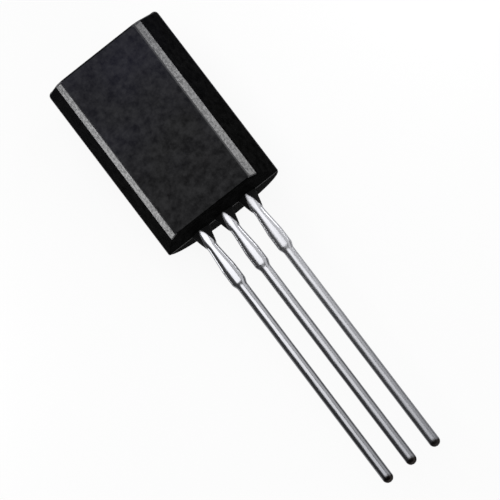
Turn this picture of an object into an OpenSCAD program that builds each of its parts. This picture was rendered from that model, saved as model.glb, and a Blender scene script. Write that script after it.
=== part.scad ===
// Transistor in a long-bodied plastic package with three leads in line.
// It lies on its round back: +Z is the flat face's normal, the body points to +Y and the leads to -Y.

/* [Body] */
// Width of the body, which is also the diameter of its round back
body_width = 6; // [5.6:0.1:6.6]
// Length of the body at its parting line
body_length = 8.9; // [8.4:0.1:10]
// Height of the flat face above the lead plane
front_depth = 1.95; // [1.6:0.05:2.3]
// Width of the flat face
flat_width = 4; // [3.6:0.1:4.6]
// Width and height of the bevel along each side of the flat face
bevel = 0.32; // [0.15:0.01:0.5]
// Draft of the front half's end faces, in degrees
front_draft = 7; // [2:0.5:12]
// Draft of the round half's end faces, in degrees
back_draft = 2; // [1:0.5:8]
// Diameter of the flat land that the ejector pin leaves on the round back
ejector_d = 1.6; // [1:0.1:2]

/* [Leads] */
// Distance between neighbouring leads
lead_pitch = 1.27; // [1.2:0.01:1.5]
// Length of the leads outside the body
lead_length = 13.6; // [6:0.1:16]
// Width of a lead
lead_width = 0.5; // [0.4:0.01:0.6]
// Thickness of the strip that the lead frame is stamped from
strip_thickness = 0.45; // [0.35:0.01:0.5]
// Width of a lead's root, where it leaves the body
root_width = 0.92; // [0.7:0.01:0.95]
// Length over which the root tapers to the lead
root_length = 0.8; // [0.3:0.01:0.9]
// How far the sheared tie bar stands out of each side of a lead
stub_height = 0.09; // [0.04:0.01:0.15]
// Distance from the body to where a lead starts to widen towards its stubs
stub_start = 1; // [0.9:0.05:1.5]
// Length of that widening
stub_ramp = 1; // [0.3:0.05:1.4]
// Length of a stub at its full height
stub_length = 0.7; // [0.4:0.05:1.2]
// Corner cut at a lead's tip
tip_cut = 0.14; // [0.02:0.01:0.2]

/* [Lead frame inside the body] */
// Gap between neighbouring pieces of the lead frame
frame_gap = 0.35; // [0.25:0.01:0.45]
// Length of a side lead's neck, up to its wire post
neck_length = 0.7; // [0.5:0.05:1]
// Length of a wire post
post_length = 1.4; // [1:0.05:1.6]
// How far a wire post reaches outwards past its root
post_reach = 0.25; // [0.1:0.01:0.4]
// Width of the pad that carries the chip
pad_width = 3.4; // [2.6:0.1:4]
// Length of the pad
pad_length = 4.4; // [3.8:0.1:5]
// Diameter of the hole that locks the pad into the moulding
lock_d = 1; // [0.6:0.05:1.4]
// Distance of that hole's centre from the pad's far edge
lock_inset = 1; // [0.9:0.05:1.4]
// Corner cut of the pad and the posts
frame_cut = 0.2; // [0.05:0.01:0.3]

/* [Chip and wires] */
// Side of the square chip
chip_size = 1.1; // [0.8:0.05:1.5]
// Thickness of the chip
chip_thickness = 0.22; // [0.15:0.01:0.3]
// Distance from the pad's near edge to the chip
chip_inset = 0.4; // [0.2:0.05:0.8]
// Thickness of the solder under the chip
solder_thickness = 0.03; // [0.02:0.005:0.06]
// How far the solder shows around the chip
solder_margin = 0.1; // [0.05:0.01:0.2]
// Distance of a wire's ball from the chip's two nearest edges
ball_inset = 0.28; // [0.2:0.01:0.35]
// Diameter of the bond wires
wire_d = 0.06; // [0.05:0.005:0.075]
// Diameter of the ball that joins a wire to the chip
ball_d = 0.15; // [0.1:0.01:0.2]
// Height of that ball
ball_height = 0.05; // [0.03:0.005:0.08]
// Height of a wire's arc above the straight line between its ends
wire_loop = 0.5; // [0.35:0.01:0.7]
// Diameter of the stitch that joins a wire to its post
stitch_d = 0.14; // [0.12:0.01:0.2]

/* [Hidden] */

$fn = 96;
wire_fn = 24;
over = 1; // how far a cutting shape runs past what it cuts
back_radius = body_width / 2;
body_y = (lead_length - body_length) / 2; // the lead end of the body, with the whole part centred on the origin
strip_top = strip_thickness / 2;
stub_full = stub_start + stub_ramp;
stub_end = stub_full + stub_length;
post_in = root_width / 2 + frame_gap;
post_out = lead_pitch + root_width / 2 + post_reach;
post_end = neck_length + post_length;
pad_y = post_end + frame_gap;
chip_y = pad_y + chip_inset + chip_size / 2;
chip_z = strip_top + solder_thickness;
ball_x = chip_size / 2 - ball_inset;
ball_y = chip_y - chip_size / 2 + ball_inset;
stitch_x = (post_in + post_out) / 2;
stitch_y = post_end - post_length / 4;

// Puts a shape drawn on the lead plane, with y = 0 at the body's lead end, in its place.
module placed() {
    translate([0, body_y, back_radius])
        children();
}

// A stamped piece of the strip, from its outline on the lead plane
module stamped() {
    linear_extrude(height = strip_thickness, center = true)
        children();
}

// A rectangle from one corner to the opposite one, with its corners cut at 45 degrees
module cut_plate(low, high, cut) {
    polygon([
        [low[0] + cut, low[1]], [high[0] - cut, low[1]],
        [high[0], low[1] + cut], [high[0], high[1] - cut],
        [high[0] - cut, high[1]], [low[0] + cut, high[1]],
        [low[0], high[1] - cut], [low[0], low[1] + cut]
    ]);
}

// Body: cross-section, with the lead plane along x
module body_section() {
    shoulder = flat_width / 2 + bevel;
    difference() {
        circle(r = back_radius);
        translate([-back_radius - over, 0])
            square([2 * (back_radius + over), back_radius + over]);
    }
    polygon([
        [-back_radius, 0], [back_radius, 0],
        [shoulder, front_depth - bevel], [flat_width / 2, front_depth],
        [-flat_width / 2, front_depth], [-shoulder, front_depth - bevel]
    ]);
}

// Body: side view, y along x, which the drafted end faces narrow away from the parting line
module body_profile() {
    front = front_depth + over;
    back = back_radius + over;
    front_step = front * tan(front_draft);
    back_step = back * tan(back_draft);
    polygon([
        [0, 0], [back_step, -back], [body_length - back_step, -back],
        [body_length, 0], [body_length - front_step, front], [front_step, front]
    ]);
}

module body_block() {
    intersection() {
        translate([0, body_length + over, 0])
            rotate([90, 0, 0])
                linear_extrude(height = body_length + 2 * over)
                    body_section();
        rotate([90, 0, 90])
            linear_extrude(height = 2 * (back_radius + over), center = true)
                body_profile();
    }
}

// Flat land of the ejector pin, level with the lowest line of the round back
module ejector_land() {
    translate([0, body_length / 2, -back_radius])
        cylinder(d = ejector_d, h = back_radius / 4);
}

// Lead outside the body and its neck inside: the tapered root, the sheared tie bar's stubs and the tip
module lead_outline() {
    half = lead_width / 2;
    root = root_width / 2;
    neck_end = neck_length + frame_cut;
    polygon([
        [-root, neck_end], [-root, 0], [-half, -root_length], [-half, -stub_start],
        [-half - stub_height, -stub_full], [-half - stub_height, -stub_end],
        [-half, -stub_end], [-half, tip_cut - lead_length],
        [tip_cut - half, -lead_length], [half - tip_cut, -lead_length],
        [half, tip_cut - lead_length], [half, -stub_end],
        [half + stub_height, -stub_end], [half + stub_height, -stub_full],
        [half, -stub_start], [half, -root_length], [root, 0], [root, neck_end]
    ]);
}

module collector_lead_solid() {
    stamped()
        difference() {
            union() {
                lead_outline();
                translate([-root_width / 2, 0])
                    square([root_width, pad_y + frame_cut]);
                cut_plate([-pad_width / 2, pad_y], [pad_width / 2, pad_y + pad_length], frame_cut);
            }
            translate([0, pad_y + pad_length - lock_inset])
                circle(d = lock_d);
        }
}

// side is -1 for the emitter and 1 for the base
module side_lead_solid(side) {
    left = side < 0 ? -post_out : post_in;
    right = side < 0 ? -post_in : post_out;
    stamped() {
        translate([side * lead_pitch, 0])
            lead_outline();
        cut_plate([left, neck_length], [right, post_end], frame_cut);
    }
}

module chip_solid() {
    translate([-chip_size / 2, chip_y - chip_size / 2, chip_z])
        cube([chip_size, chip_size, chip_thickness]);
}

module chip_solder_solid() {
    side = chip_size + 2 * solder_margin;
    translate([-side / 2, chip_y - side / 2, strip_top])
        cube([side, side, solder_thickness]);
}

// Bond wire: one arc from the ball on the chip down to the stitch on the lead's post
module wire_solid(side) {
    away = [side * (stitch_x - ball_x), stitch_y - ball_y];
    span = norm(away);
    drop = chip_z + chip_thickness - strip_top;
    half_chord = norm([span, drop]) / 2;
    radius = (half_chord * half_chord + wire_loop * wire_loop) / (2 * wire_loop);
    half_angle = asin(half_chord / radius);
    translate([side * ball_x, ball_y, chip_z + chip_thickness])
        rotate([0, 0, atan2(away[1], away[0])]) {
            cylinder(d = ball_d, h = ball_height, $fn = wire_fn);
            translate([span, 0, -drop])
                cylinder(d = stitch_d, h = wire_d, $fn = wire_fn);
            translate([span / 2, 0, (wire_d - drop) / 2])
                rotate([90, 0, 0])
                    rotate([0, 0, -atan2(drop, span)])
                        translate([0, wire_loop - radius])
                            rotate([0, 0, 90 - half_angle])
                                rotate_extrude(angle = 2 * half_angle)
                                    translate([radius, 0])
                                        circle(d = wire_d, $fn = wire_fn);
        }
}

module body() {
    color("#262628")
        placed()
            difference() {
                union() {
                    body_block();
                    ejector_land();
                }
                collector_lead_solid();
                side_lead_solid(-1);
                side_lead_solid(1);
                chip_solder_solid();
                chip_solid();
                wire_solid(-1);
                wire_solid(1);
            }
}

module collector_lead() {
    color("#d8d9db")
        placed()
            collector_lead_solid();
}

module emitter_lead() {
    color("#d8d9db")
        placed()
            side_lead_solid(-1);
}

module base_lead() {
    color("#d8d9db")
        placed()
            side_lead_solid(1);
}

module chip() {
    color("#5f6672")
        placed()
            chip_solid();
}

module chip_solder() {
    color("#a9abad")
        placed()
            chip_solder_solid();
}

module emitter_wire() {
    color("#e0b64c")
        placed()
            wire_solid(-1);
}

module base_wire() {
    color("#e0b64c")
        placed()
            wire_solid(1);
}

body();
collector_lead();
emitter_lead();
base_lead();
chip();
chip_solder();
emitter_wire();
base_wire();
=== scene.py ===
# Transistor in a long plastic package: moulded body, dipped leads, and the chip and bond wires inside
import math
import random

import bmesh
import bpy
from mathutils import Matrix, Vector


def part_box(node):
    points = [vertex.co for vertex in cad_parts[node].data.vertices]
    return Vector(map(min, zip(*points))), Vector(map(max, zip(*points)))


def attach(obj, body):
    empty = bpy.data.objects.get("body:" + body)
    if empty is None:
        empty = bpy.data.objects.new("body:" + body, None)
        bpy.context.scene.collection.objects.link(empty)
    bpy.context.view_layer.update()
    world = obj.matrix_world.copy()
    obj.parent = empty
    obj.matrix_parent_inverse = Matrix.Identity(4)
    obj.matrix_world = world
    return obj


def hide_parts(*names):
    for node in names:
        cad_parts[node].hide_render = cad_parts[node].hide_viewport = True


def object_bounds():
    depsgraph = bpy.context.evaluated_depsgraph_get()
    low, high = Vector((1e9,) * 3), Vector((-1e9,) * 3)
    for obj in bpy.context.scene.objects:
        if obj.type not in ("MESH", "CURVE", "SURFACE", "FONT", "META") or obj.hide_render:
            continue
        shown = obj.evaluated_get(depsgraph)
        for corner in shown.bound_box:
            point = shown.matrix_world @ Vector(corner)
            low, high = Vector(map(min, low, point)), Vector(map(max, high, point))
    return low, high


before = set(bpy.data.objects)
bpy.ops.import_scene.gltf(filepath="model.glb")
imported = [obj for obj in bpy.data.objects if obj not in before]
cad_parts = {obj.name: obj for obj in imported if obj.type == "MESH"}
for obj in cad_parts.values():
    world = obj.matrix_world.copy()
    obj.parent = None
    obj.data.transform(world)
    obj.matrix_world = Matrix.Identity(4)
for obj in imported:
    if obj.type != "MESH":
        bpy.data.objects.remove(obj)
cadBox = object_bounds()
mm = 0.001


def linearColour(code):
    # sRGB hex, such as "#1c1c1e", to the linear values that a colour socket takes
    parts = [int(code[i:i + 2], 16) / 255 for i in (1, 3, 5)]
    return [*(p / 12.92 if p <= 0.04045 else ((p + 0.055) / 1.055) ** 2.4 for p in parts), 1]


def setInputs(tree, node, inputs):
    # an input is a value, a socket, or a node whose first output is linked
    for key, value in inputs.items():
        source = value.outputs[0] if isinstance(value, bpy.types.Node) else value
        if isinstance(source, bpy.types.NodeSocket):
            tree.links.new(source, node.inputs[key])
        else:
            node.inputs[key].default_value = source


def addNode(tree, kind, inputs=None, **settings):
    node = tree.nodes.new(kind)
    for name, value in settings.items():
        setattr(node, name, value)
    setInputs(tree, node, inputs or {})
    return node


def newMaterial(name):
    # a material with its node tree and its shader
    material = bpy.data.materials.new(name)
    material.use_nodes = True
    return material, material.node_tree, material.node_tree.nodes["Principled BSDF"]


def newObject(name, data):
    thing = bpy.data.objects.new(name, data)
    bpy.context.scene.collection.objects.link(thing)
    return thing


def newMesh(name, bm):
    mesh = bpy.data.meshes.new(name)
    bm.to_mesh(mesh)
    bm.free()
    return mesh


def newPiece(name, mesh, materials, node):
    # a finished piece, which stands for one solid of the frame
    piece = newObject(name, mesh)
    for material in materials:
        mesh.materials.append(material)
    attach(piece, "root")
    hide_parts(node)
    return piece


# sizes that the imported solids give, in mm
bodyLow, bodyHigh = (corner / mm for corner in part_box("body"))
leadLow, leadHigh = (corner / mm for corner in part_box("collector_lead"))
bodyRadius = (bodyHigh.x - bodyLow.x) / 2
leadPlane = (leadLow.z + leadHigh.z) / 2
stripThickness = leadHigh.z - leadLow.z
leadPitch = 1.27  # between neighbouring leads, which the boxes don't give

wavePeriod = math.pi / 10  # of a wave texture at a scale of 1


epoxy = {
    "grain": 0.11,  # mm; the real spark-eroded grain is about 0.03 and would be too fine to show
    "grainHeight": 0.006,  # mm
    "grainRange": (0.3, 0.7),  # of its noise, from the glossiest spots to the dullest
    "blotch": 0.3,  # mm across a blotch in the grey
    "blotchRange": (0.32, 0.68),  # of its noise, from the dark grey to the light one
    "paintedBluePatch": 2.2,  # mm across a patch of the faint painted blue reflection, which grows towards the far end
    "paintedBlueRange": (0.8, 1.6),  # of its noise and the share of the length added up
    "fillerColour": "#3b3b3e",  # of the larger grains of silica
    "fillerSpacing": 0.16,  # mm between them; real ones lie closer and would blur to an even grey
    "fillerRange": (0.05, 0.22),  # from a grain's full colour to its edge, in shares of the spacing
    "turnedPitch": 0.08,  # mm between the cutter's rings on the ejector pin
    "turnedStrength": 0.5,
}

# the compound is the same all over, and each mould face gave it another grain, gloss and depth of black,
# except on the sloping sides and the lead end, whose near black is painted shade; each finish adds a share
# of the painted blue reflection; roughness goes up and down by patchy, and a low ior and shine keep a rough
# face's black deep
finishes = {
    # soft dark grey, mottled and matt
    "flat": {"name": "epoxy, spark-eroded mould", "dark": "#151516", "light": "#2c2c2d",
             "paintedBlue": "#0a0a17", "filler": 0.2, "roughness": 0.62, "patchy": 0.05,
             "ior": 1.1, "shine": 0.5, "bump": 0.75},
    # satin, so that the bevels draw a pale line of light along each side of the flat
    "bevel": {"name": "epoxy, polished mould", "dark": "#1c1c1d", "light": "#262628",
              "paintedBlue": "#060610", "filler": 0.15, "roughness": 0.32, "patchy": 0.14,
              "ior": 1.5, "shine": 0.5, "bump": 0.3},
    # smooth, with fine bright rings round its middle
    "pin": {"name": "epoxy, turned pin mark", "dark": "#141415", "light": "#1e1e1f",
            "paintedBlue": "#020206", "filler": 0.1, "roughness": 0.3, "patchy": 0.05,
            "ior": 1.45, "shine": 0.5, "bump": 0.3},
    # painted shade: the deepest black, without a gleam, on the sloping sides and the lead end
    "side": {"name": "epoxy, ground mould, painted black as shade", "dark": "#030303", "light": "#0d0d0d",
             "paintedBlue": "#010103", "filler": 0.12, "roughness": 0.75, "patchy": 0.05,
             "ior": 1.05, "shine": 0.15, "bump": 0.4},
    # black with a soft broad sheen, so that its roundness shows
    "back": {"name": "epoxy, lapped mould", "dark": "#09090a", "light": "#151516",
             "paintedBlue": "#020206", "filler": 0.12, "roughness": 0.42, "patchy": 0.12,
             "ior": 1.2, "shine": 0.5, "bump": 0.6},
    # grey, dry and coarse, with the filler laid bare
    "break": {"name": "epoxy, broken at the gate", "dark": "#303032", "light": "#525255",
              "paintedBlue": "#020206", "filler": 0.8, "roughness": 0.85, "patchy": 0.05,
              "ior": 1.2, "shine": 0.5, "bump": 1.0},
}


def mouldedEpoxy(finish, ringCentre=None):
    # silica-filled epoxy: near black, with a fine grain, soft blotches, paler grains of filler and a faint
    # painted blue reflection towards the far end
    material, tree, shader = newMaterial(finish["name"])
    place = addNode(tree, "ShaderNodeTexCoord").outputs["Object"]
    blotch = addNode(tree, "ShaderNodeTexNoise", {
        "Vector": place, "Scale": 1 / (epoxy["blotch"] * mm), "Detail": 3, "Roughness": 0.6})
    patch = addNode(tree, "ShaderNodeTexNoise", {
        "Vector": place, "Scale": 1 / (epoxy["paintedBluePatch"] * mm), "Detail": 1})
    along = addNode(tree, "ShaderNodeSeparateXYZ", {0: place}).outputs["Y"]
    farness = addNode(tree, "ShaderNodeMapRange", {
        "Value": along, "From Min": bodyLow.y * mm, "From Max": bodyHigh.y * mm})
    grain = addNode(tree, "ShaderNodeTexNoise", {
        "Vector": place, "Scale": 1 / (epoxy["grain"] * mm), "Detail": 2, "Roughness": 0.6})
    filler = addNode(tree, "ShaderNodeTexVoronoi", {
        "Vector": place, "Scale": 1 / (epoxy["fillerSpacing"] * mm)})
    blotchMask = addNode(tree, "ShaderNodeMapRange", {
        "Value": blotch.outputs[0],
        "From Min": epoxy["blotchRange"][0], "From Max": epoxy["blotchRange"][1]})
    # painted reflection: a faint blue added to the colour, growing towards the far end
    paintedBlueMask = addNode(tree, "ShaderNodeMapRange", {
        "Value": addNode(tree, "ShaderNodeMath", {0: patch.outputs[0], 1: farness}, operation="ADD"),
        "From Min": epoxy["paintedBlueRange"][0], "From Max": epoxy["paintedBlueRange"][1]})
    fillerMask = addNode(tree, "ShaderNodeMapRange", {
        "Value": filler.outputs["Distance"],
        "From Min": epoxy["fillerRange"][0], "From Max": epoxy["fillerRange"][1],
        "To Min": finish["filler"], "To Max": 0})
    ground = addNode(tree, "ShaderNodeMix", {
        "Factor": blotchMask, 6: linearColour(finish["dark"]), 7: linearColour(finish["light"])},
        data_type="RGBA")
    tinted = addNode(tree, "ShaderNodeMix", {
        "Factor": paintedBlueMask, 6: ground.outputs[2], 7: linearColour(finish["paintedBlue"])},
        data_type="RGBA", blend_type="ADD")
    colour = addNode(tree, "ShaderNodeMix", {
        "Factor": fillerMask, 6: tinted.outputs[2], 7: linearColour(epoxy["fillerColour"])},
        data_type="RGBA")
    gloss = addNode(tree, "ShaderNodeMapRange", {
        "Value": grain.outputs[0],
        "From Min": epoxy["grainRange"][0], "From Max": epoxy["grainRange"][1],
        "To Min": finish["roughness"] - finish["patchy"],
        "To Max": finish["roughness"] + finish["patchy"]})
    relief = addNode(tree, "ShaderNodeBump", {
        "Height": grain.outputs[0], "Strength": finish["bump"], "Distance": epoxy["grainHeight"] * mm})
    if ringCentre:
        # the pin's end was faced on a lathe, and its rings show in the light
        centred = addNode(tree, "ShaderNodeMapping", {"Vector": place, "Location": -ringCentre})
        rings = addNode(tree, "ShaderNodeTexWave", {
            "Vector": centred, "Scale": wavePeriod / (epoxy["turnedPitch"] * mm), "Distortion": 0},
            wave_type="RINGS", rings_direction="Z")
        relief = addNode(tree, "ShaderNodeBump", {
            "Height": rings.outputs[1], "Normal": relief, "Strength": epoxy["turnedStrength"],
            "Distance": epoxy["grainHeight"] * mm})
    setInputs(tree, shader, {
        "Base Color": colour.outputs[2], "Roughness": gloss, "Normal": relief,
        "IOR": finish["ior"], "Specular IOR Level": finish["shine"]})
    return material


dip = {
    "bright": "#c1c1c5",
    "dull": "#aaabaf",
    "tipDull": "#7d7e82",  # darker towards the tips
    # painted shade on the tin where it faces sideways, with a little of the sheared edges' duller finish
    "side": "#77787b",
    "cut": "#2b2827",  # bare copper alloy where a tip was cut after the dip, and painted shade that darkens the whole rounded tip
    "resin": "#0d0d0e",
    "roughness": 0.11,
    "tipRoughness": 0.16,
    "frost": 0.11,  # how much rougher the dip cooled on the base lead than on the emitter lead
    "evenness": 0.6,  # and how much of the painted side shade that takes away
    "sideShadeRange": (0.3, 0.8),  # how far sideways the tin faces where the painted side shade starts, and is full
    "streakWidth": 0.09,  # mm across the lead
    "streakLength": 1.6,  # mm along it
    "streakHeight": 0.0015,  # mm
    "streakRoughness": 0.12,
    "streakStrength": 0.3,
    "cutRange": (-0.02, -0.2),  # how far a face turns to the tip where the painted tip shade starts, and is full
    "cutReach": (0.4, 0.3),  # mm from the tip, for the same two
    "resinReach": 8,  # how far the film of resin runs out along the root's edges,
    "resinPower": 1.7,  # and how closely it keeps to them
    "resinWave": 0.12,  # mm along one wave of its ragged end
    "resinRag": 0.12,  # mm from the crests of those waves to their hollows
    "resinRange": (-0.02, 0.08),  # mm over which its end thins out
    "resinRoughness": 0.75,
    "resinShine": 0.15,
}


def dippedTin():
    # tin dipped over stamped copper alloy: bright on top, greyer where it faces sideways, which is painted
    # shade with a little of the sheared sides' duller finish, darker and rougher towards the tips, with
    # painted shade over the rounded tip and its bare cut, and a little frostier on one outer lead than on
    # the other
    material, tree, shader = newMaterial("tin, dipped over copper alloy")
    place = addNode(tree, "ShaderNodeTexCoord").outputs["Object"]
    position = addNode(tree, "ShaderNodeSeparateXYZ", {0: place}).outputs
    facing = addNode(tree, "ShaderNodeSeparateXYZ", {
        0: addNode(tree, "ShaderNodeTexCoord").outputs["Normal"]}).outputs
    across = 1 / (dip["streakWidth"] * mm)
    stretch = addNode(tree, "ShaderNodeMapping", {
        "Vector": place, "Scale": (across, 1 / (dip["streakLength"] * mm), across)})
    streak = addNode(tree, "ShaderNodeTexNoise", {"Vector": stretch, "Scale": 1, "Detail": 2})
    frost = addNode(tree, "ShaderNodeMapRange", {
        "Value": position["X"], "From Min": -leadPitch * mm, "From Max": leadPitch * mm})
    # painted side shade: full on the emitter lead, less on the frostier base lead
    sideShadeDepth = addNode(tree, "ShaderNodeMapRange", {
        "Value": frost, "To Min": 1, "To Max": 1 - dip["evenness"]})
    sideways = addNode(tree, "ShaderNodeMath", {0: facing["X"]}, operation="ABSOLUTE")
    sideShadeMask = addNode(tree, "ShaderNodeMapRange", {
        "Value": sideways, "From Min": dip["sideShadeRange"][0], "From Max": dip["sideShadeRange"][1],
        "To Max": sideShadeDepth})
    # the tin's colour darkens and its roughness rises towards the tips
    towardTips = addNode(tree, "ShaderNodeMapRange", {
        "Value": position["Y"], "From Min": bodyLow.y * mm, "From Max": leadLow.y * mm})
    # painted shade: the rounded tip darkens, over the small bare cut
    cutMask = addNode(tree, "ShaderNodeMapRange", {
        "Value": facing["Y"], "From Min": dip["cutRange"][0], "From Max": dip["cutRange"][1]})
    tipOnly = addNode(tree, "ShaderNodeMapRange", {
        "Value": position["Y"],
        "From Min": (leadLow.y + dip["cutReach"][0]) * mm,
        "From Max": (leadLow.y + dip["cutReach"][1]) * mm})
    cutEnd = addNode(tree, "ShaderNodeMath", {0: cutMask, 1: tipOnly}, operation="MULTIPLY")

    # the film of resin: its reach grows from each lead's middle line to its edges
    aside = addNode(tree, "ShaderNodeMath", {0: position["X"], 1: leadPitch / 2 * mm}, operation="PINGPONG")
    aside = addNode(tree, "ShaderNodeMath", {0: aside, 1: 1 / mm}, operation="MULTIPLY")
    spread = addNode(tree, "ShaderNodeMath", {0: aside, 1: dip["resinPower"]}, operation="POWER")
    ragged = addNode(tree, "ShaderNodeTexNoise", {
        "Vector": place, "Scale": 1 / (dip["resinWave"] * mm), "Detail": 1})
    reach = addNode(tree, "ShaderNodeMath", {
        0: spread, 1: dip["resinReach"] * mm, 2: position["Y"]}, operation="MULTIPLY_ADD")
    reach = addNode(tree, "ShaderNodeMath", {
        0: ragged.outputs[0], 1: dip["resinRag"] * mm, 2: reach}, operation="MULTIPLY_ADD")
    resinEnd = bodyLow.y + dip["resinRag"] / 2
    resin = addNode(tree, "ShaderNodeMapRange", {
        "Value": reach, "From Min": (resinEnd + dip["resinRange"][0]) * mm,
        "From Max": (resinEnd + dip["resinRange"][1]) * mm})

    ground = addNode(tree, "ShaderNodeMix", {
        "Factor": streak.outputs[0], 6: linearColour(dip["bright"]), 7: linearColour(dip["dull"])},
        data_type="RGBA")
    darkerTowardTips = addNode(tree, "ShaderNodeMix", {
        "Factor": towardTips, 6: ground.outputs[2], 7: linearColour(dip["tipDull"])}, data_type="RGBA")
    sideShaded = addNode(tree, "ShaderNodeMix", {
        "Factor": sideShadeMask, 6: darkerTowardTips.outputs[2], 7: linearColour(dip["side"])}, data_type="RGBA")
    cutShaded = addNode(tree, "ShaderNodeMix", {
        "Factor": cutEnd, 6: sideShaded.outputs[2], 7: linearColour(dip["cut"])}, data_type="RGBA")
    colour = addNode(tree, "ShaderNodeMix", {
        "Factor": resin, 6: cutShaded.outputs[2], 7: linearColour(dip["resin"])}, data_type="RGBA")
    tipDull = addNode(tree, "ShaderNodeMapRange", {
        "Value": towardTips, "To Min": dip["roughness"], "To Max": dip["tipRoughness"]})
    frosted = addNode(tree, "ShaderNodeMath", {0: frost, 1: dip["frost"], 2: tipDull}, operation="MULTIPLY_ADD")
    satin = addNode(tree, "ShaderNodeMath", {
        0: streak.outputs[0], 1: dip["streakRoughness"], 2: frosted}, operation="MULTIPLY_ADD")
    gloss = addNode(tree, "ShaderNodeMapRange", {
        "Value": resin, "To Min": satin, "To Max": dip["resinRoughness"]})
    metal = addNode(tree, "ShaderNodeMath", {0: 1, 1: resin}, operation="SUBTRACT")
    relief = addNode(tree, "ShaderNodeBump", {
        "Height": streak.outputs[0], "Strength": dip["streakStrength"],
        "Distance": dip["streakHeight"] * mm})
    setInputs(tree, shader, {
        "Base Color": colour.outputs[2], "Roughness": gloss, "Normal": relief, "Metallic": metal,
        "Specular IOR Level": dip["resinShine"]})
    return material


# mm, but degrees for the drafts
body = {
    "flatWidth": 4.0,
    "bevel": 0.32,
    "frontDraft": 7,  # of the end faces in front of the lead plane
    "backDraft": 2,
    "flatFillet": 0.2,
    "shoulderFillet": 0.03,
    "endFillet": 0.06,  # at the lead end
    "farFillet": 0.1,  # the far end is rounder, and most at its corners
    "farCornerFillet": 0.2,
    "farCornerPower": 6,  # how close to the corners that stays
    "filletSteps": 5,
    "backSteps": 96,
    "flashHeight": 0.025,  # thin ridge where the two mould halves meet
    "flashWidth": 0.04,
    "pinMarkWidth": 1.6,
    "pinMarkFillet": 0.02,
    "pinMarkRoot": 0.4,  # how deep it starts in the body
    "pinMarkSteps": 64,  # round it, and then over its fillet
    "pinMarkFilletSteps": 4,
    "gateWidth": 1.1,  # of the scar where the runner was broken off the far end
    "gateHeight": 0.34,
    "gateRoot": 0.3,  # how deep its stump starts in the body
    "gateRim": 0.024,  # how far its rim lies below the parting line
    "gateRelief": 0.02,
    "gateRag": (0.9, 1.08),  # how much its outline goes in and out
    "gateRings": (0.85, 0.6, 0.32),  # of the rough face, in shares of its width
    "gateSteps": 40,
    "gateSeed": 12,
    "flatTurn": 0.97,  # how far up a face looks, from 0 to 1, to get the flat's finish,
    "bevelTurn": 0.5,  # and to get the bevels', if it also looks
    "bevelAside": 0.1,  # this far sideways
    "endTurn": 0.5,  # how far along the body an end face looks
}


def filletArc(before, corner, after, radius, steps):
    # points of the arc that rounds a corner between its two neighbours
    toBefore = (before - corner).normalized()
    toAfter = (after - corner).normalized()
    half = toBefore.angle(toAfter) / 2
    centre = corner + (toBefore + toAfter).normalized() * radius / math.sin(half)
    start = corner + toBefore * radius / math.tan(half) - centre
    end = corner + toAfter * radius / math.tan(half) - centre
    turn = math.atan2(start.x * end.y - start.y * end.x, start.dot(end))
    return [centre + Matrix.Rotation(turn * k / steps, 2) @ start for k in range(steps + 1)]


def bodySection():
    # cross-section from the right ridge over the flat face to the left ridge, and on round the back
    side = bodyRadius - body["flashHeight"]
    rise = body["flashWidth"] / 2
    top = bodyHigh.z - leadPlane
    flat = body["flatWidth"] / 2
    shoulder = flat + body["bevel"]
    corners = [Vector(p) for p in (
        (side, rise), (shoulder, top - body["bevel"]), (flat, top),
        (-flat, top), (-shoulder, top - body["bevel"]), (-side, rise))]
    radii = [body["shoulderFillet"], body["flatFillet"], body["flatFillet"], body["shoulderFillet"]]
    front = [corners[0]]
    for k, radius in enumerate(radii):
        front += filletArc(*corners[k:k + 3], radius, body["filletSteps"])
    front.append(corners[-1])
    lean = math.asin(rise / side)
    sweep = math.pi - 2 * lean
    angles = [math.pi + lean + sweep * k / body["backSteps"] for k in range(body["backSteps"] + 1)]
    back = [side * Vector((math.cos(a), math.sin(a))) for a in angles]
    ridges = [Vector((side, 0)), Vector((-side, 0))]
    return ridges[:1] + front + ridges[1:] + back, len(front) + 1


def bridgeRings(bm, rings):
    # the faces between each ring of points and the next
    return [bm.faces.new((low[k - 1], low[k], high[k], high[k - 1]))
            for low, high in zip(rings, rings[1:]) for k in range(len(low))]


def bodyRing(bm, section, leftRidge, end, turn):
    # one ring round the body at its lead end, -1, or its far end, 1;
    # turn goes from 0 on its side to 90 degrees on its end face
    top = bodyHigh.z - leadPlane
    middle = (top - bodyRadius) / 2
    ring = []
    for k, point in enumerate(section):
        corner = min(abs(point.x) / bodyRadius, 1) ** body["farCornerPower"]
        radius = body["farFillet"] + (body["farCornerFillet"] - body["farFillet"]) * corner
        radius = radius if end > 0 else body["endFillet"]
        inset = radius * (1 - math.cos(turn))
        back = radius * (1 - math.sin(turn))
        x = point.x * (1 - inset / bodyRadius)
        z = middle + (point.y - middle) * (1 - inset / (top - middle))
        draft = body["frontDraft"] if z > 0 else body["backDraft"]
        inward = back + body["flashHeight"] + abs(z) * math.tan(math.radians(draft))
        if k in (0, leftRidge):
            x += math.copysign(body["flashHeight"] * math.cos(turn), x)
            inward -= body["flashHeight"] * math.sin(turn)
        y = bodyLow.y + inward if end < 0 else bodyHigh.y - inward
        ring.append(bm.verts.new(Vector((x, y, leadPlane + z)) * mm))
    return ring


pinCentre = Vector((0, (bodyLow.y + bodyHigh.y) / 2, 0)) * mm
finishSlot = {finish: k for k, finish in enumerate(finishes)}


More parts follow.
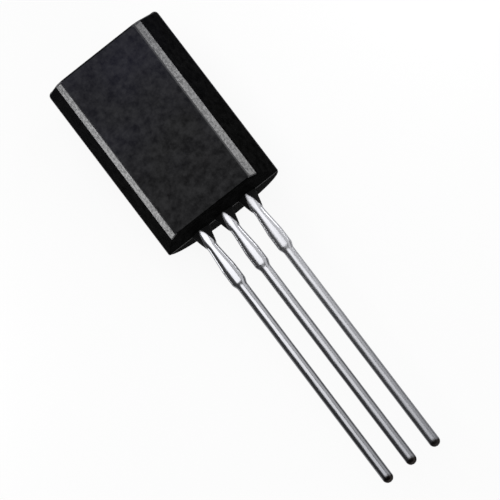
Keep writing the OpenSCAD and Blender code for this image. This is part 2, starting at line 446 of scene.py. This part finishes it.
def addPinMark(bm):
    # flat land that the ejector pin leaves, level with the lowest line of the round back
    radius = body["pinMarkWidth"] / 2
    fillet = body["pinMarkFillet"]
    steps = body["pinMarkSteps"]
    turns = [math.pi / 2 * k / body["pinMarkFilletSteps"] for k in range(body["pinMarkFilletSteps"] + 1)]
    profile = [(radius, body["pinMarkRoot"])] + [
        (radius - fillet * (1 - math.cos(t)), fillet * (1 - math.sin(t))) for t in turns]
    angles = [2 * math.pi * k / steps for k in range(steps)]
    rings = []
    for r, z in profile:
        rings.append([
            bm.verts.new(pinCentre + Vector((r * math.cos(a), r * math.sin(a), z)) * mm) for a in angles])
    faces = [bm.faces.new(rings[0]), bm.faces.new(rings[-1])] + bridgeRings(bm, rings)
    for face in faces:
        face.material_index = finishSlot["pin"]


def addGateScar(bm):
    # rough break at the far end, on the parting line, where the runner was snapped off
    chance = random.Random(body["gateSeed"])
    steps = body["gateSteps"]
    rim = [chance.uniform(*body["gateRag"]) for k in range(steps)]
    angles = [2 * math.pi * k / steps for k in range(steps)]
    rings = []
    levels = [(1, body["gateRoot"]), (1, body["gateRim"])] + [(share, 0) for share in body["gateRings"]]
    for share, depth in levels:
        ring = []
        for a, rag in zip(angles, rim):
            rough = chance.uniform(0, body["gateRelief"]) if share < 1 else 0
            ring.append(bm.verts.new(Vector((
                body["gateWidth"] / 2 * share * rag * math.cos(a),
                bodyHigh.y - depth - rough,
                leadPlane + body["gateHeight"] / 2 * share * rag * math.sin(a))) * mm))
        rings.append(ring)
    middle = bm.verts.new(Vector((0, bodyHigh.y - body["gateRelief"] / 2, leadPlane)) * mm)
    faces = [bm.faces.new(rings[0])] + bridgeRings(bm, rings)
    faces += [bm.faces.new((rings[-1][k - 1], rings[-1][k], middle)) for k in range(steps)]
    for face in faces:
        face.material_index = finishSlot["break"]


def mouldedBody():
    bm = bmesh.new()
    section, leftRidge = bodySection()
    steps = body["filletSteps"]
    turns = [math.pi / 2 * k / steps for k in range(steps + 1)]
    rings = [bodyRing(bm, section, leftRidge, -1, t) for t in reversed(turns)]
    rings += [bodyRing(bm, section, leftRidge, 1, t) for t in turns]
    bridgeRings(bm, rings)

    # end faces: the front half, the round half, and the ridge on each side of them
    for ring in (rings[0], rings[-1]):
        bm.faces.new(ring[1:leftRidge])
        bm.faces.new(ring[leftRidge + 1:])
        bm.faces.new((ring[0], ring[1], ring[leftRidge - 1], ring[leftRidge]))
        bm.faces.new((ring[leftRidge], ring[leftRidge + 1], ring[-1], ring[0]))
    bmesh.ops.recalc_face_normals(bm, faces=bm.faces)
    ridges = {ring[k] for ring in rings for k in (0, leftRidge)}
    for face in bm.faces:
        normal = face.normal
        onBevel = normal.z > body["bevelTurn"] and abs(normal.x) > body["bevelAside"]
        onFarEnd = normal.y >= body["endTurn"]
        if normal.z > body["flatTurn"]:
            finish = "flat"
        elif onBevel or ridges.intersection(face.verts):
            finish = "bevel"
        # the sloping sides and the lead end take the near black that is painted shade
        elif normal.y < -body["endTurn"] or (normal.z > 0 and not onFarEnd):
            finish = "side"
        else:
            finish = "back"
        face.material_index = finishSlot[finish]
    addPinMark(bm)
    addGateScar(bm)
    bmesh.ops.recalc_face_normals(bm, faces=bm.faces)
    for face in bm.faces:
        face.smooth = True
    materials = [
        mouldedEpoxy(finish, pinCentre if key == "pin" else None) for key, finish in finishes.items()]
    piece = newPiece("moulded_body", newMesh("mouldedBody", bm), materials, "body")
    piece.modifiers.new("flat faces stay flat", "WEIGHTED_NORMAL").weight = 100


print("moulded body")
mouldedBody()


# mm, but powers and shares have no unit
lead = {
    "width": 0.5,
    "rootWidth": 0.92,
    "rootLength": 0.8,
    "rootCurve": 0.85,  # of the taper: 1 is straight, and less is fuller
    "stubHeight": 0.09,
    "stubStart": 1.0,
    "stubRamp": 1.0,
    "stubLength": 0.7,
    "stubRound": 0.32,
    "tipRound": 0.26,  # length of the rounding at the tip, seen from above, and then from the side
    "tipFall": 0.42,
    "tipKeep": 0.0004,  # share of the section that stays at the very tip, so that its faces keep an area
    "rootPower": 1.5,  # of the section's superellipse: 2 is an ellipse, less is pointed, more is square
    "rootFade": 2,  # how fast the pointed section is left behind
    "stampedPower": 2.3,  # from the root to the stubs
    "dippedPower": 2.0,  # from the stubs to the tip
    "dippedThickness": 0.36,
    "unevenness": 0.008,  # how far the dip swells and sinks
    "unevenLength": 1.4,  # from one swelling to the next
    "seed": 4,  # of the middle lead's swellings; the others take one less and one more
    "roundSteps": 40,
    "lengthSteps": 520,
    "frameCut": 0.2,  # of the plate's corners
    "holeSteps": 48,
    "weld": 0.0001,  # distance within which the plate's edges are joined
}

leadInputs = (
    "Across", "Root", "Tip", "Plane", "Buried", "Plate Across", "Plate Middle", "Plate Width",
    "Plate Length", "Hole Middle", "Hole Width", "Thickness")


def leadTree(material):
    # a dipped lead swept towards -Y, with the stamped plate on its buried end
    tree = bpy.data.node_groups.new("dippedLead", "GeometryNodeTree")
    for name in leadInputs:
        tree.interface.new_socket(name, in_out="INPUT", socket_type="NodeSocketFloat")
    tree.interface.new_socket("Seed", in_out="INPUT", socket_type="NodeSocketInt")
    tree.interface.new_socket("Geometry", in_out="OUTPUT", socket_type="NodeSocketGeometry")
    given = addNode(tree, "NodeGroupInput").outputs
    calc = "ShaderNodeMath"

    # distance from the body's face along the lead, negative where it is buried
    tube = addNode(tree, "GeometryNodeMeshCylinder", {
        "Vertices": lead["roundSteps"], "Side Segments": lead["lengthSteps"], "Radius": 1, "Depth": 1})
    at = addNode(tree, "ShaderNodeSeparateXYZ", {0: addNode(tree, "GeometryNodeInputPosition")}).outputs
    free = addNode(tree, calc, {0: given["Root"], 1: given["Tip"]}, operation="SUBTRACT")
    whole = addNode(tree, calc, {0: free, 1: given["Buried"]}, operation="ADD")
    share = addNode(tree, calc, {0: at["Z"], 1: 0.5}, operation="ADD")
    along = addNode(tree, calc, {0: share, 1: whole}, operation="MULTIPLY")
    out = addNode(tree, calc, {0: along, 1: given["Buried"]}, operation="SUBTRACT")

    # half width: tapered root, then the ramp and blunt end of the sheared tie bar
    stubFull = lead["stubStart"] + lead["stubRamp"]
    stubEnd = stubFull + lead["stubLength"]
    root = addNode(tree, "ShaderNodeMapRange", {
        "Value": out, "From Min": 0, "From Max": lead["rootLength"] * mm, "To Min": 1, "To Max": 0})
    flare = addNode(tree, calc, {0: root, 1: lead["rootCurve"]}, operation="POWER")
    ramp = addNode(tree, "ShaderNodeMapRange", {
        "Value": out, "From Min": lead["stubStart"] * mm, "From Max": stubFull * mm})
    blunt = addNode(tree, "ShaderNodeMapRange", {
        "Value": out, "From Min": stubEnd * mm, "From Max": (stubEnd + lead["stubRound"]) * mm,
        "To Min": 1, "To Max": 0}, interpolation_type="SMOOTHSTEP")
    stub = addNode(tree, calc, {0: ramp, 1: blunt}, operation="MULTIPLY")
    flared = addNode(tree, calc, {
        0: flare, 1: (lead["rootWidth"] - lead["width"]) / 2 * mm, 2: lead["width"] / 2 * mm},
        operation="MULTIPLY_ADD")
    halfWidth = addNode(tree, calc, {
        0: stub, 1: lead["stubHeight"] * mm, 2: flared}, operation="MULTIPLY_ADD")

    # the dip rounds the section below the stubs, thins it a little and leaves it uneven
    dipped = addNode(tree, calc, {0: 1, 1: blunt}, operation="SUBTRACT")
    power = addNode(tree, "ShaderNodeMapRange", {
        "Value": dipped, "To Min": 2 / lead["stampedPower"], "To Max": 2 / lead["dippedPower"]})
    pointed = addNode(tree, calc, {0: root, 1: lead["rootFade"]}, operation="POWER")
    power = addNode(tree, "ShaderNodeMapRange", {
        "Value": pointed, "To Min": power, "To Max": 2 / lead["rootPower"]})
    halfThick = addNode(tree, calc, {0: given["Thickness"], 1: 0.5}, operation="MULTIPLY")
    thin = addNode(tree, "ShaderNodeMapRange", {
        "Value": dipped, "To Min": halfThick, "To Max": lead["dippedThickness"] / 2 * mm})
    wave = addNode(tree, "ShaderNodeTexNoise", {
        "W": given["Seed"], "Vector": addNode(tree, "ShaderNodeCombineXYZ", {
            "X": at["X"], "Y": addNode(tree, calc, {
                0: out, 1: 1 / (lead["unevenLength"] * mm)}, operation="MULTIPLY"), "Z": at["Y"]}),
        "Scale": 1, "Detail": 2}, noise_dimensions="4D")
    swell = addNode(tree, "ShaderNodeMapRange", {
        "Value": wave.outputs[0], "To Min": -lead["unevenness"] * mm, "To Max": lead["unevenness"] * mm})
    uneven = addNode(tree, calc, {0: swell, 1: dipped}, operation="MULTIPLY")

    place = {}
    for axis, turn, half, length in (
            ("X", at["X"], halfWidth, lead["tipRound"]), ("Z", at["Y"], thin, lead["tipFall"])):
        # domed tip
        nearTip = addNode(tree, "ShaderNodeMapRange", {
            "Value": addNode(tree, calc, {0: free, 1: out}, operation="SUBTRACT"),
            "From Min": 0, "From Max": length * mm, "To Min": 1, "To Max": 0})
        fall = addNode(tree, calc, {0: nearTip, 1: 2}, operation="POWER")
        left = addNode(tree, calc, {0: 1 + lead["tipKeep"], 1: fall}, operation="SUBTRACT")
        left = addNode(tree, calc, {0: left, 1: lead["tipKeep"]}, operation="MAXIMUM")
        dome = addNode(tree, calc, {0: left}, operation="SQRT")

        # superellipse
        squared = addNode(tree, calc, {
            0: addNode(tree, calc, {0: turn}, operation="ABSOLUTE"), 1: power}, operation="POWER")
        signed = addNode(tree, calc, {
            0: squared, 1: addNode(tree, calc, {0: turn}, operation="SIGN")}, operation="MULTIPLY")
        reach = addNode(tree, calc, {
            0: addNode(tree, calc, {0: half, 1: uneven}, operation="ADD"), 1: dome}, operation="MULTIPLY")
        place[axis] = addNode(tree, calc, {0: signed, 1: reach}, operation="MULTIPLY")
    swept = addNode(tree, "GeometryNodeSetPosition", {
        "Geometry": tube.outputs["Mesh"], "Position": addNode(tree, "ShaderNodeCombineXYZ", {
            "X": addNode(tree, calc, {0: place["X"], 1: given["Across"]}, operation="ADD"),
            "Y": addNode(tree, calc, {0: given["Root"], 1: out}, operation="SUBTRACT"),
            "Z": addNode(tree, calc, {0: place["Z"], 1: given["Plane"]}, operation="ADD")})})

    # the post or the pad inside the body: cut corners, a locking hole where there is one
    outline = addNode(tree, "GeometryNodeFilletCurve", {
        "Curve": addNode(tree, "GeometryNodeCurvePrimitiveQuadrilateral", {
            "Width": given["Plate Width"], "Height": given["Plate Length"]}),
        "Radius": lead["frameCut"] * mm, "Count": 1}, mode="POLY")
    hole = addNode(tree, "GeometryNodeTransform", {
        "Geometry": addNode(tree, "GeometryNodeCurvePrimitiveCircle", {
            "Resolution": lead["holeSteps"],
            "Radius": addNode(tree, calc, {0: given["Hole Width"], 1: 0.5}, operation="MULTIPLY")}),
        "Translation": addNode(tree, "ShaderNodeCombineXYZ", {"Y": given["Hole Middle"]})})
    both = addNode(tree, "GeometryNodeJoinGeometry", {"Geometry": outline})
    tree.links.new(hole.outputs[0], both.inputs[0])
    hasHole = addNode(tree, "FunctionNodeCompare", {0: given["Hole Width"], 1: 0}, operation="GREATER_THAN")
    drawn = addNode(tree, "GeometryNodeSwitch", {"Switch": hasHole, "False": outline, "True": both})
    sheet = addNode(tree, "GeometryNodeFillCurve", {"Curve": drawn})
    raised = addNode(tree, "GeometryNodeExtrudeMesh", {
        "Mesh": sheet, "Offset Scale": given["Thickness"], "Individual": False})
    plate = addNode(tree, "GeometryNodeJoinGeometry", {"Geometry": raised})
    tree.links.new(addNode(tree, "GeometryNodeFlipFaces", {"Mesh": sheet}).outputs[0], plate.inputs[0])
    closed = addNode(tree, "GeometryNodeMergeByDistance", {"Geometry": plate, "Distance": lead["weld"] * mm})
    placed = addNode(tree, "GeometryNodeTransform", {
        "Geometry": closed, "Translation": addNode(tree, "ShaderNodeCombineXYZ", {
            "X": given["Plate Across"], "Y": given["Plate Middle"],
            "Z": addNode(tree, calc, {0: given["Plane"], 1: halfThick}, operation="SUBTRACT")})})

    smooth = addNode(tree, "GeometryNodeSetShadeSmooth", {"Geometry": swept, "Shade Smooth": True})
    joined = addNode(tree, "GeometryNodeJoinGeometry", {"Geometry": smooth})
    tree.links.new(placed.outputs[0], joined.inputs[0])
    real = addNode(tree, "GeometryNodeRealizeInstances", {"Geometry": joined})
    dressed = addNode(tree, "GeometryNodeSetMaterial", {"Geometry": real, "Material": material})
    addNode(tree, "NodeGroupOutput", {"Geometry": dressed})
    return tree


def dippedLead(node, tree, material, sizes):
    # the tree's result for one lead, turned into a plain mesh
    name = node + "_dipped"
    source = newObject(name, bpy.data.meshes.new(name))
    form = source.modifiers.new("lead", "NODES")
    form.node_group = tree
    for socket in tree.interface.items_tree:
        if socket.in_out == "INPUT":
            value = sizes[socket.name]
            form[socket.identifier] = value if socket.name == "Seed" else value * mm
    shown = source.evaluated_get(bpy.context.evaluated_depsgraph_get())
    mesh = bpy.data.meshes.new_from_object(shown)
    bpy.data.objects.remove(source)
    mesh.materials.clear()
    newPiece(name, mesh, [material], node)


# mm
frameInside = {
    "rootFrom": 0.3,  # how far a lead's sweep runs on inside its plate
    "neck": 0.7,  # from the body's face to an outer lead's post
    "padLength": 4.4,
    "holeWidth": 1.0,
    "holeInset": 1.0,  # from the pad's far edge to the hole's middle
}


def leadSizes(node):
    # the tree's inputs in mm, mostly from the box of the lead's own solid
    low, high = (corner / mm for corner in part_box(node))
    middle = node == "collector_lead"
    side = 0 if middle else math.copysign(1, low.x + high.x)
    nearEdge = high.y - frameInside["padLength"] if middle else bodyLow.y + frameInside["neck"]
    plateMiddle = (nearEdge + high.y) / 2
    return {
        "Across": side * leadPitch, "Root": bodyLow.y, "Tip": low.y, "Plane": leadPlane,
        "Buried": nearEdge + frameInside["rootFrom"] - bodyLow.y,
        "Plate Across": (low.x + high.x) / 2, "Plate Middle": plateMiddle,
        "Plate Width": high.x - low.x, "Plate Length": high.y - nearEdge,
        "Hole Middle": high.y - frameInside["holeInset"] - plateMiddle,
        "Hole Width": frameInside["holeWidth"] if middle else 0,
        "Thickness": stripThickness, "Seed": lead["seed"] + int(side),
    }


print("leads")
tin = dippedTin()
tree = leadTree(tin)
for node in ("collector_lead", "emitter_lead", "base_lead"):
    dippedLead(node, tree, tin, leadSizes(node))


chipFace = {
    "oxide": "#3c4450",
    "finger": "#59636f",
    "fingerPitch": 0.06,  # mm between the emitter's fingers
    "fingerEdge": (0.45, 0.55),
    "aluminium": "#c9cacc",
    "pad": 0.26,  # mm, side of an aluminium bonding area
    "padInset": 0.28,  # mm from its middle to the chip's edges
    "roughness": 0.16,
    "padRoughness": 0.34,
    "ior": 2.0,
}


def siliconChip():
    # passivated silicon: dark blue grey and glossy, fine fingers, and two aluminium bonding areas
    material, tree, shader = newMaterial("silicon, passivated")
    low, high = (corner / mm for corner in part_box("chip"))
    place = addNode(tree, "ShaderNodeTexCoord").outputs["Object"]
    fingers = addNode(tree, "ShaderNodeTexWave", {
        "Vector": place, "Scale": wavePeriod / (chipFace["fingerPitch"] * mm), "Distortion": 0},
        bands_direction="X")
    bars = addNode(tree, "ShaderNodeMapRange", {
        "Value": fingers.outputs[1],
        "From Min": chipFace["fingerEdge"][0], "From Max": chipFace["fingerEdge"][1]})
    masks = []
    for x in (low.x + chipFace["padInset"], high.x - chipFace["padInset"]):
        corner = Vector((x, low.y + chipFace["padInset"], high.z)) * mm
        away = addNode(tree, "ShaderNodeVectorMath", {0: place, 1: corner}, operation="SUBTRACT")
        away = addNode(tree, "ShaderNodeVectorMath", {0: away}, operation="ABSOLUTE")
        axes = addNode(tree, "ShaderNodeSeparateXYZ", {0: away}).outputs
        far = addNode(tree, "ShaderNodeMath", {0: axes["X"], 1: axes["Y"]}, operation="MAXIMUM")
        masks.append(addNode(tree, "ShaderNodeMath", {
            0: far, 1: chipFace["pad"] / 2 * mm}, operation="LESS_THAN"))
    metal = addNode(tree, "ShaderNodeMath", {0: masks[0], 1: masks[1]}, operation="MAXIMUM")
    oxide = addNode(tree, "ShaderNodeMix", {
        "Factor": bars, 6: linearColour(chipFace["oxide"]), 7: linearColour(chipFace["finger"])},
        data_type="RGBA")
    colour = addNode(tree, "ShaderNodeMix", {
        "Factor": metal, 6: oxide.outputs[2], 7: linearColour(chipFace["aluminium"])}, data_type="RGBA")
    gloss = addNode(tree, "ShaderNodeMapRange", {
        "Value": metal, "To Min": chipFace["roughness"], "To Max": chipFace["padRoughness"]})
    setInputs(tree, shader, {
        "Base Color": colour.outputs[2], "Roughness": gloss, "Metallic": metal, "IOR": chipFace["ior"]})
    return material


solder = {
    "dark": "#97999c",
    "light": "#b4b6b8",
    "crystal": 0.04,  # mm across
    "crystalHeight": 0.002,  # mm
    "crystalStrength": 0.4,
    "roughness": (0.36, 0.55),  # of the dark crystals, and of the light ones
}


def reflowedSolder():
    # high-lead solder, reflowed: silver grey, with a frost of small crystals
    material, tree, shader = newMaterial("solder, reflowed")
    place = addNode(tree, "ShaderNodeTexCoord").outputs["Object"]
    crystals = addNode(tree, "ShaderNodeTexVoronoi", {
        "Vector": place, "Scale": 1 / (solder["crystal"] * mm)})
    shade = addNode(tree, "ShaderNodeSeparateColor", {0: crystals.outputs["Color"]}).outputs[0]
    colour = addNode(tree, "ShaderNodeMix", {
        "Factor": shade, 6: linearColour(solder["dark"]), 7: linearColour(solder["light"])},
        data_type="RGBA")
    gloss = addNode(tree, "ShaderNodeMapRange", {
        "Value": shade, "To Min": solder["roughness"][0], "To Max": solder["roughness"][1]})
    relief = addNode(tree, "ShaderNodeBump", {
        "Height": crystals.outputs["Distance"], "Strength": solder["crystalStrength"],
        "Distance": solder["crystalHeight"] * mm})
    setInputs(tree, shader, {
        "Base Color": colour.outputs[2], "Roughness": gloss, "Normal": relief, "Metallic": 1})
    return material


wire = {
    "dark": "#eab548",
    "light": "#f6cd6e",
    "mark": 0.02,  # mm across a mark of the die
    "markRange": (0.3, 0.7),
    "roughness": (0.16, 0.28),  # between the marks, and in them
}


def drawnGold():
    # fine gold, drawn to wire: warm and bright, with faint marks of the die
    material, tree, shader = newMaterial("gold, drawn")
    place = addNode(tree, "ShaderNodeTexCoord").outputs["Object"]
    marks = addNode(tree, "ShaderNodeTexNoise", {
        "Vector": place, "Scale": 1 / (wire["mark"] * mm), "Detail": 2})
    colour = addNode(tree, "ShaderNodeMix", {
        "Factor": marks.outputs[0], 6: linearColour(wire["dark"]), 7: linearColour(wire["light"])},
        data_type="RGBA")
    gloss = addNode(tree, "ShaderNodeMapRange", {
        "Value": marks.outputs[0], "From Min": wire["markRange"][0], "From Max": wire["markRange"][1],
        "To Min": wire["roughness"][0], "To Max": wire["roughness"][1]})
    setInputs(tree, shader, {"Base Color": colour.outputs[2], "Roughness": gloss, "Metallic": 1})
    return material


print("sealed pieces")
gold = drawnGold()
for name, material in (("chip", siliconChip()), ("chip_solder", reflowedSolder()),
                       ("emitter_wire", gold), ("base_wire", gold)):
    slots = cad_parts[name].data.materials
    slots.clear()
    slots.append(material)


stage = {
    "floorColour": "#e6e6e6",
    "floorRoughness": 0.9,
    "floorRadius": 3,  # m
    "floorSteps": 96,
    "floorWhite": 0.9,  # share of plain white in what the camera, metal and glass see of the floor
    "world": 0.08,
}

# each lamp's size, place and aim in m, and its brightness, which a mirror shows as white from 1 up;
# the two strips lie close beside the body, and mostly its bevels pick them up
lamps = {
    "overhead": ((0.26, 0.46), (0.01, 0.13, 0.3), (0, 0, 0), 2.2),
    "right": ((0.34, 0.26), (0.24, -0.03, 0.2), (0, 0, 0), 1.1),
    "left": ((0.3, 0.16), (-0.17, -0.24, 0.09), (0, 0, 0), 0.5),
    "front": ((0.6, 0.2), (0.05, -0.36, 0.2), (0, 0, 0), 1.2),
    "behind": ((0.36, 0.2), (-0.1, 0.36, 0.2), (0, 0, 0), 1.0),
    "rightStrip": ((0.0113, 0.006), (0.02, 0.00885, 0.0065), (0, 0.00885, 0.0048), 7.1),
    "leftStrip": ((0.0117, 0.006), (-0.02, 0.00905, 0.0033), (0, 0.00905, 0.0048), 6.7),
}


def floor():
    # matt white sheet: nearly plain white in the render and in the metal, with the object's soft shadow
    material, tree, shader = newMaterial("paper, white")
    setInputs(tree, shader, {
        "Base Color": linearColour(stage["floorColour"]), "Roughness": stage["floorRoughness"]})
    rays = addNode(tree, "ShaderNodeLightPath").outputs
    seen = addNode(tree, "ShaderNodeMath", {0: rays["Is Camera Ray"], 1: rays["Is Glossy Ray"]},
                   operation="MAXIMUM")
    seen = addNode(tree, "ShaderNodeMath", {0: seen, 1: rays["Is Transmission Ray"]}, operation="MAXIMUM")
    share = addNode(tree, "ShaderNodeMath", {0: seen, 1: stage["floorWhite"]}, operation="MULTIPLY")
    white = addNode(tree, "ShaderNodeEmission", {"Color": (1, 1, 1, 1), "Strength": 1})
    mix = addNode(tree, "ShaderNodeMixShader", {0: share, 1: shader, 2: white})
    setInputs(tree, tree.nodes["Material Output"], {"Surface": mix})
    bm = bmesh.new()
    bmesh.ops.create_circle(bm, cap_ends=True, segments=stage["floorSteps"], radius=stage["floorRadius"])
    sheet = newObject("floor", newMesh("floor", bm))
    sheet.location.z = cadBox[0].z
    sheet.data.materials.append(material)


def softbox(name, size, place, aim, brightness):
    light = bpy.data.lights.new(name, "AREA")
    light.shape = "RECTANGLE"
    light.size, light.size_y = size
    light.energy = brightness * math.pi * size[0] * size[1]
    lamp = newObject(name, light)
    lamp.location = place
    lamp.rotation_euler = (Vector(aim) - lamp.location).to_track_quat("-Z", "Y").to_euler()


camera = {
    "yaw": 5.64,  # degrees from the flat face's normal towards +X
    "tilt": 8.61,  # degrees towards the leads
    "roll": 52.74,  # the leads' direction in the render, in degrees below its horizontal
    "distance": 200.85,  # mm from the body's lead end
    "width": 21.58,  # mm across the render at that distance
    "aim": (1.122, 1.578),  # mm from there to the render's middle, to the right and down
    "sensor": 36,  # mm
    "clip": (0.01, 10),  # m
}


def addCamera():
    yaw, tilt, roll = (math.radians(camera[k]) for k in ("yaw", "tilt", "roll"))
    back = Vector((math.sin(yaw) * math.cos(tilt), -math.sin(tilt), math.cos(yaw) * math.cos(tilt)))
    leads = Vector((0, -1, 0))
    leads = (leads - back * leads.dot(back)).normalized()
    across = leads.cross(back)
    right = leads * math.cos(roll) - across * math.sin(roll)
    down = leads * math.sin(roll) + across * math.cos(roll)
    origin = Vector((0, bodyLow.y, leadPlane))
    place = (origin + back * camera["distance"]) * mm
    target = (origin + right * camera["aim"][0] + down * camera["aim"][1]) * mm
    z = (place - target).normalized()
    x = (right - z * right.dot(z)).normalized()
    y = z.cross(x)
    data = bpy.data.cameras.new("camera")
    data.sensor_width = camera["sensor"]
    data.lens = data.sensor_width * camera["distance"] / camera["width"]
    data.clip_start, data.clip_end = camera["clip"]
    eye = newObject("camera", data)
    eye.matrix_world = Matrix.Translation(place) @ Matrix((x, y, z)).transposed().to_4x4()
    bpy.context.scene.camera = eye


print("floor, light and camera")
floor()
for name, lamp in lamps.items():
    softbox(name, *lamp)
world = bpy.data.worlds.new("studio")
world.use_nodes = True
setInputs(world.node_tree, world.node_tree.nodes["Background"], {
    "Color": (1, 1, 1, 1), "Strength": stage["world"]})
bpy.context.scene.world = world
bpy.context.scene.view_settings.view_transform = "Standard"
addCamera()
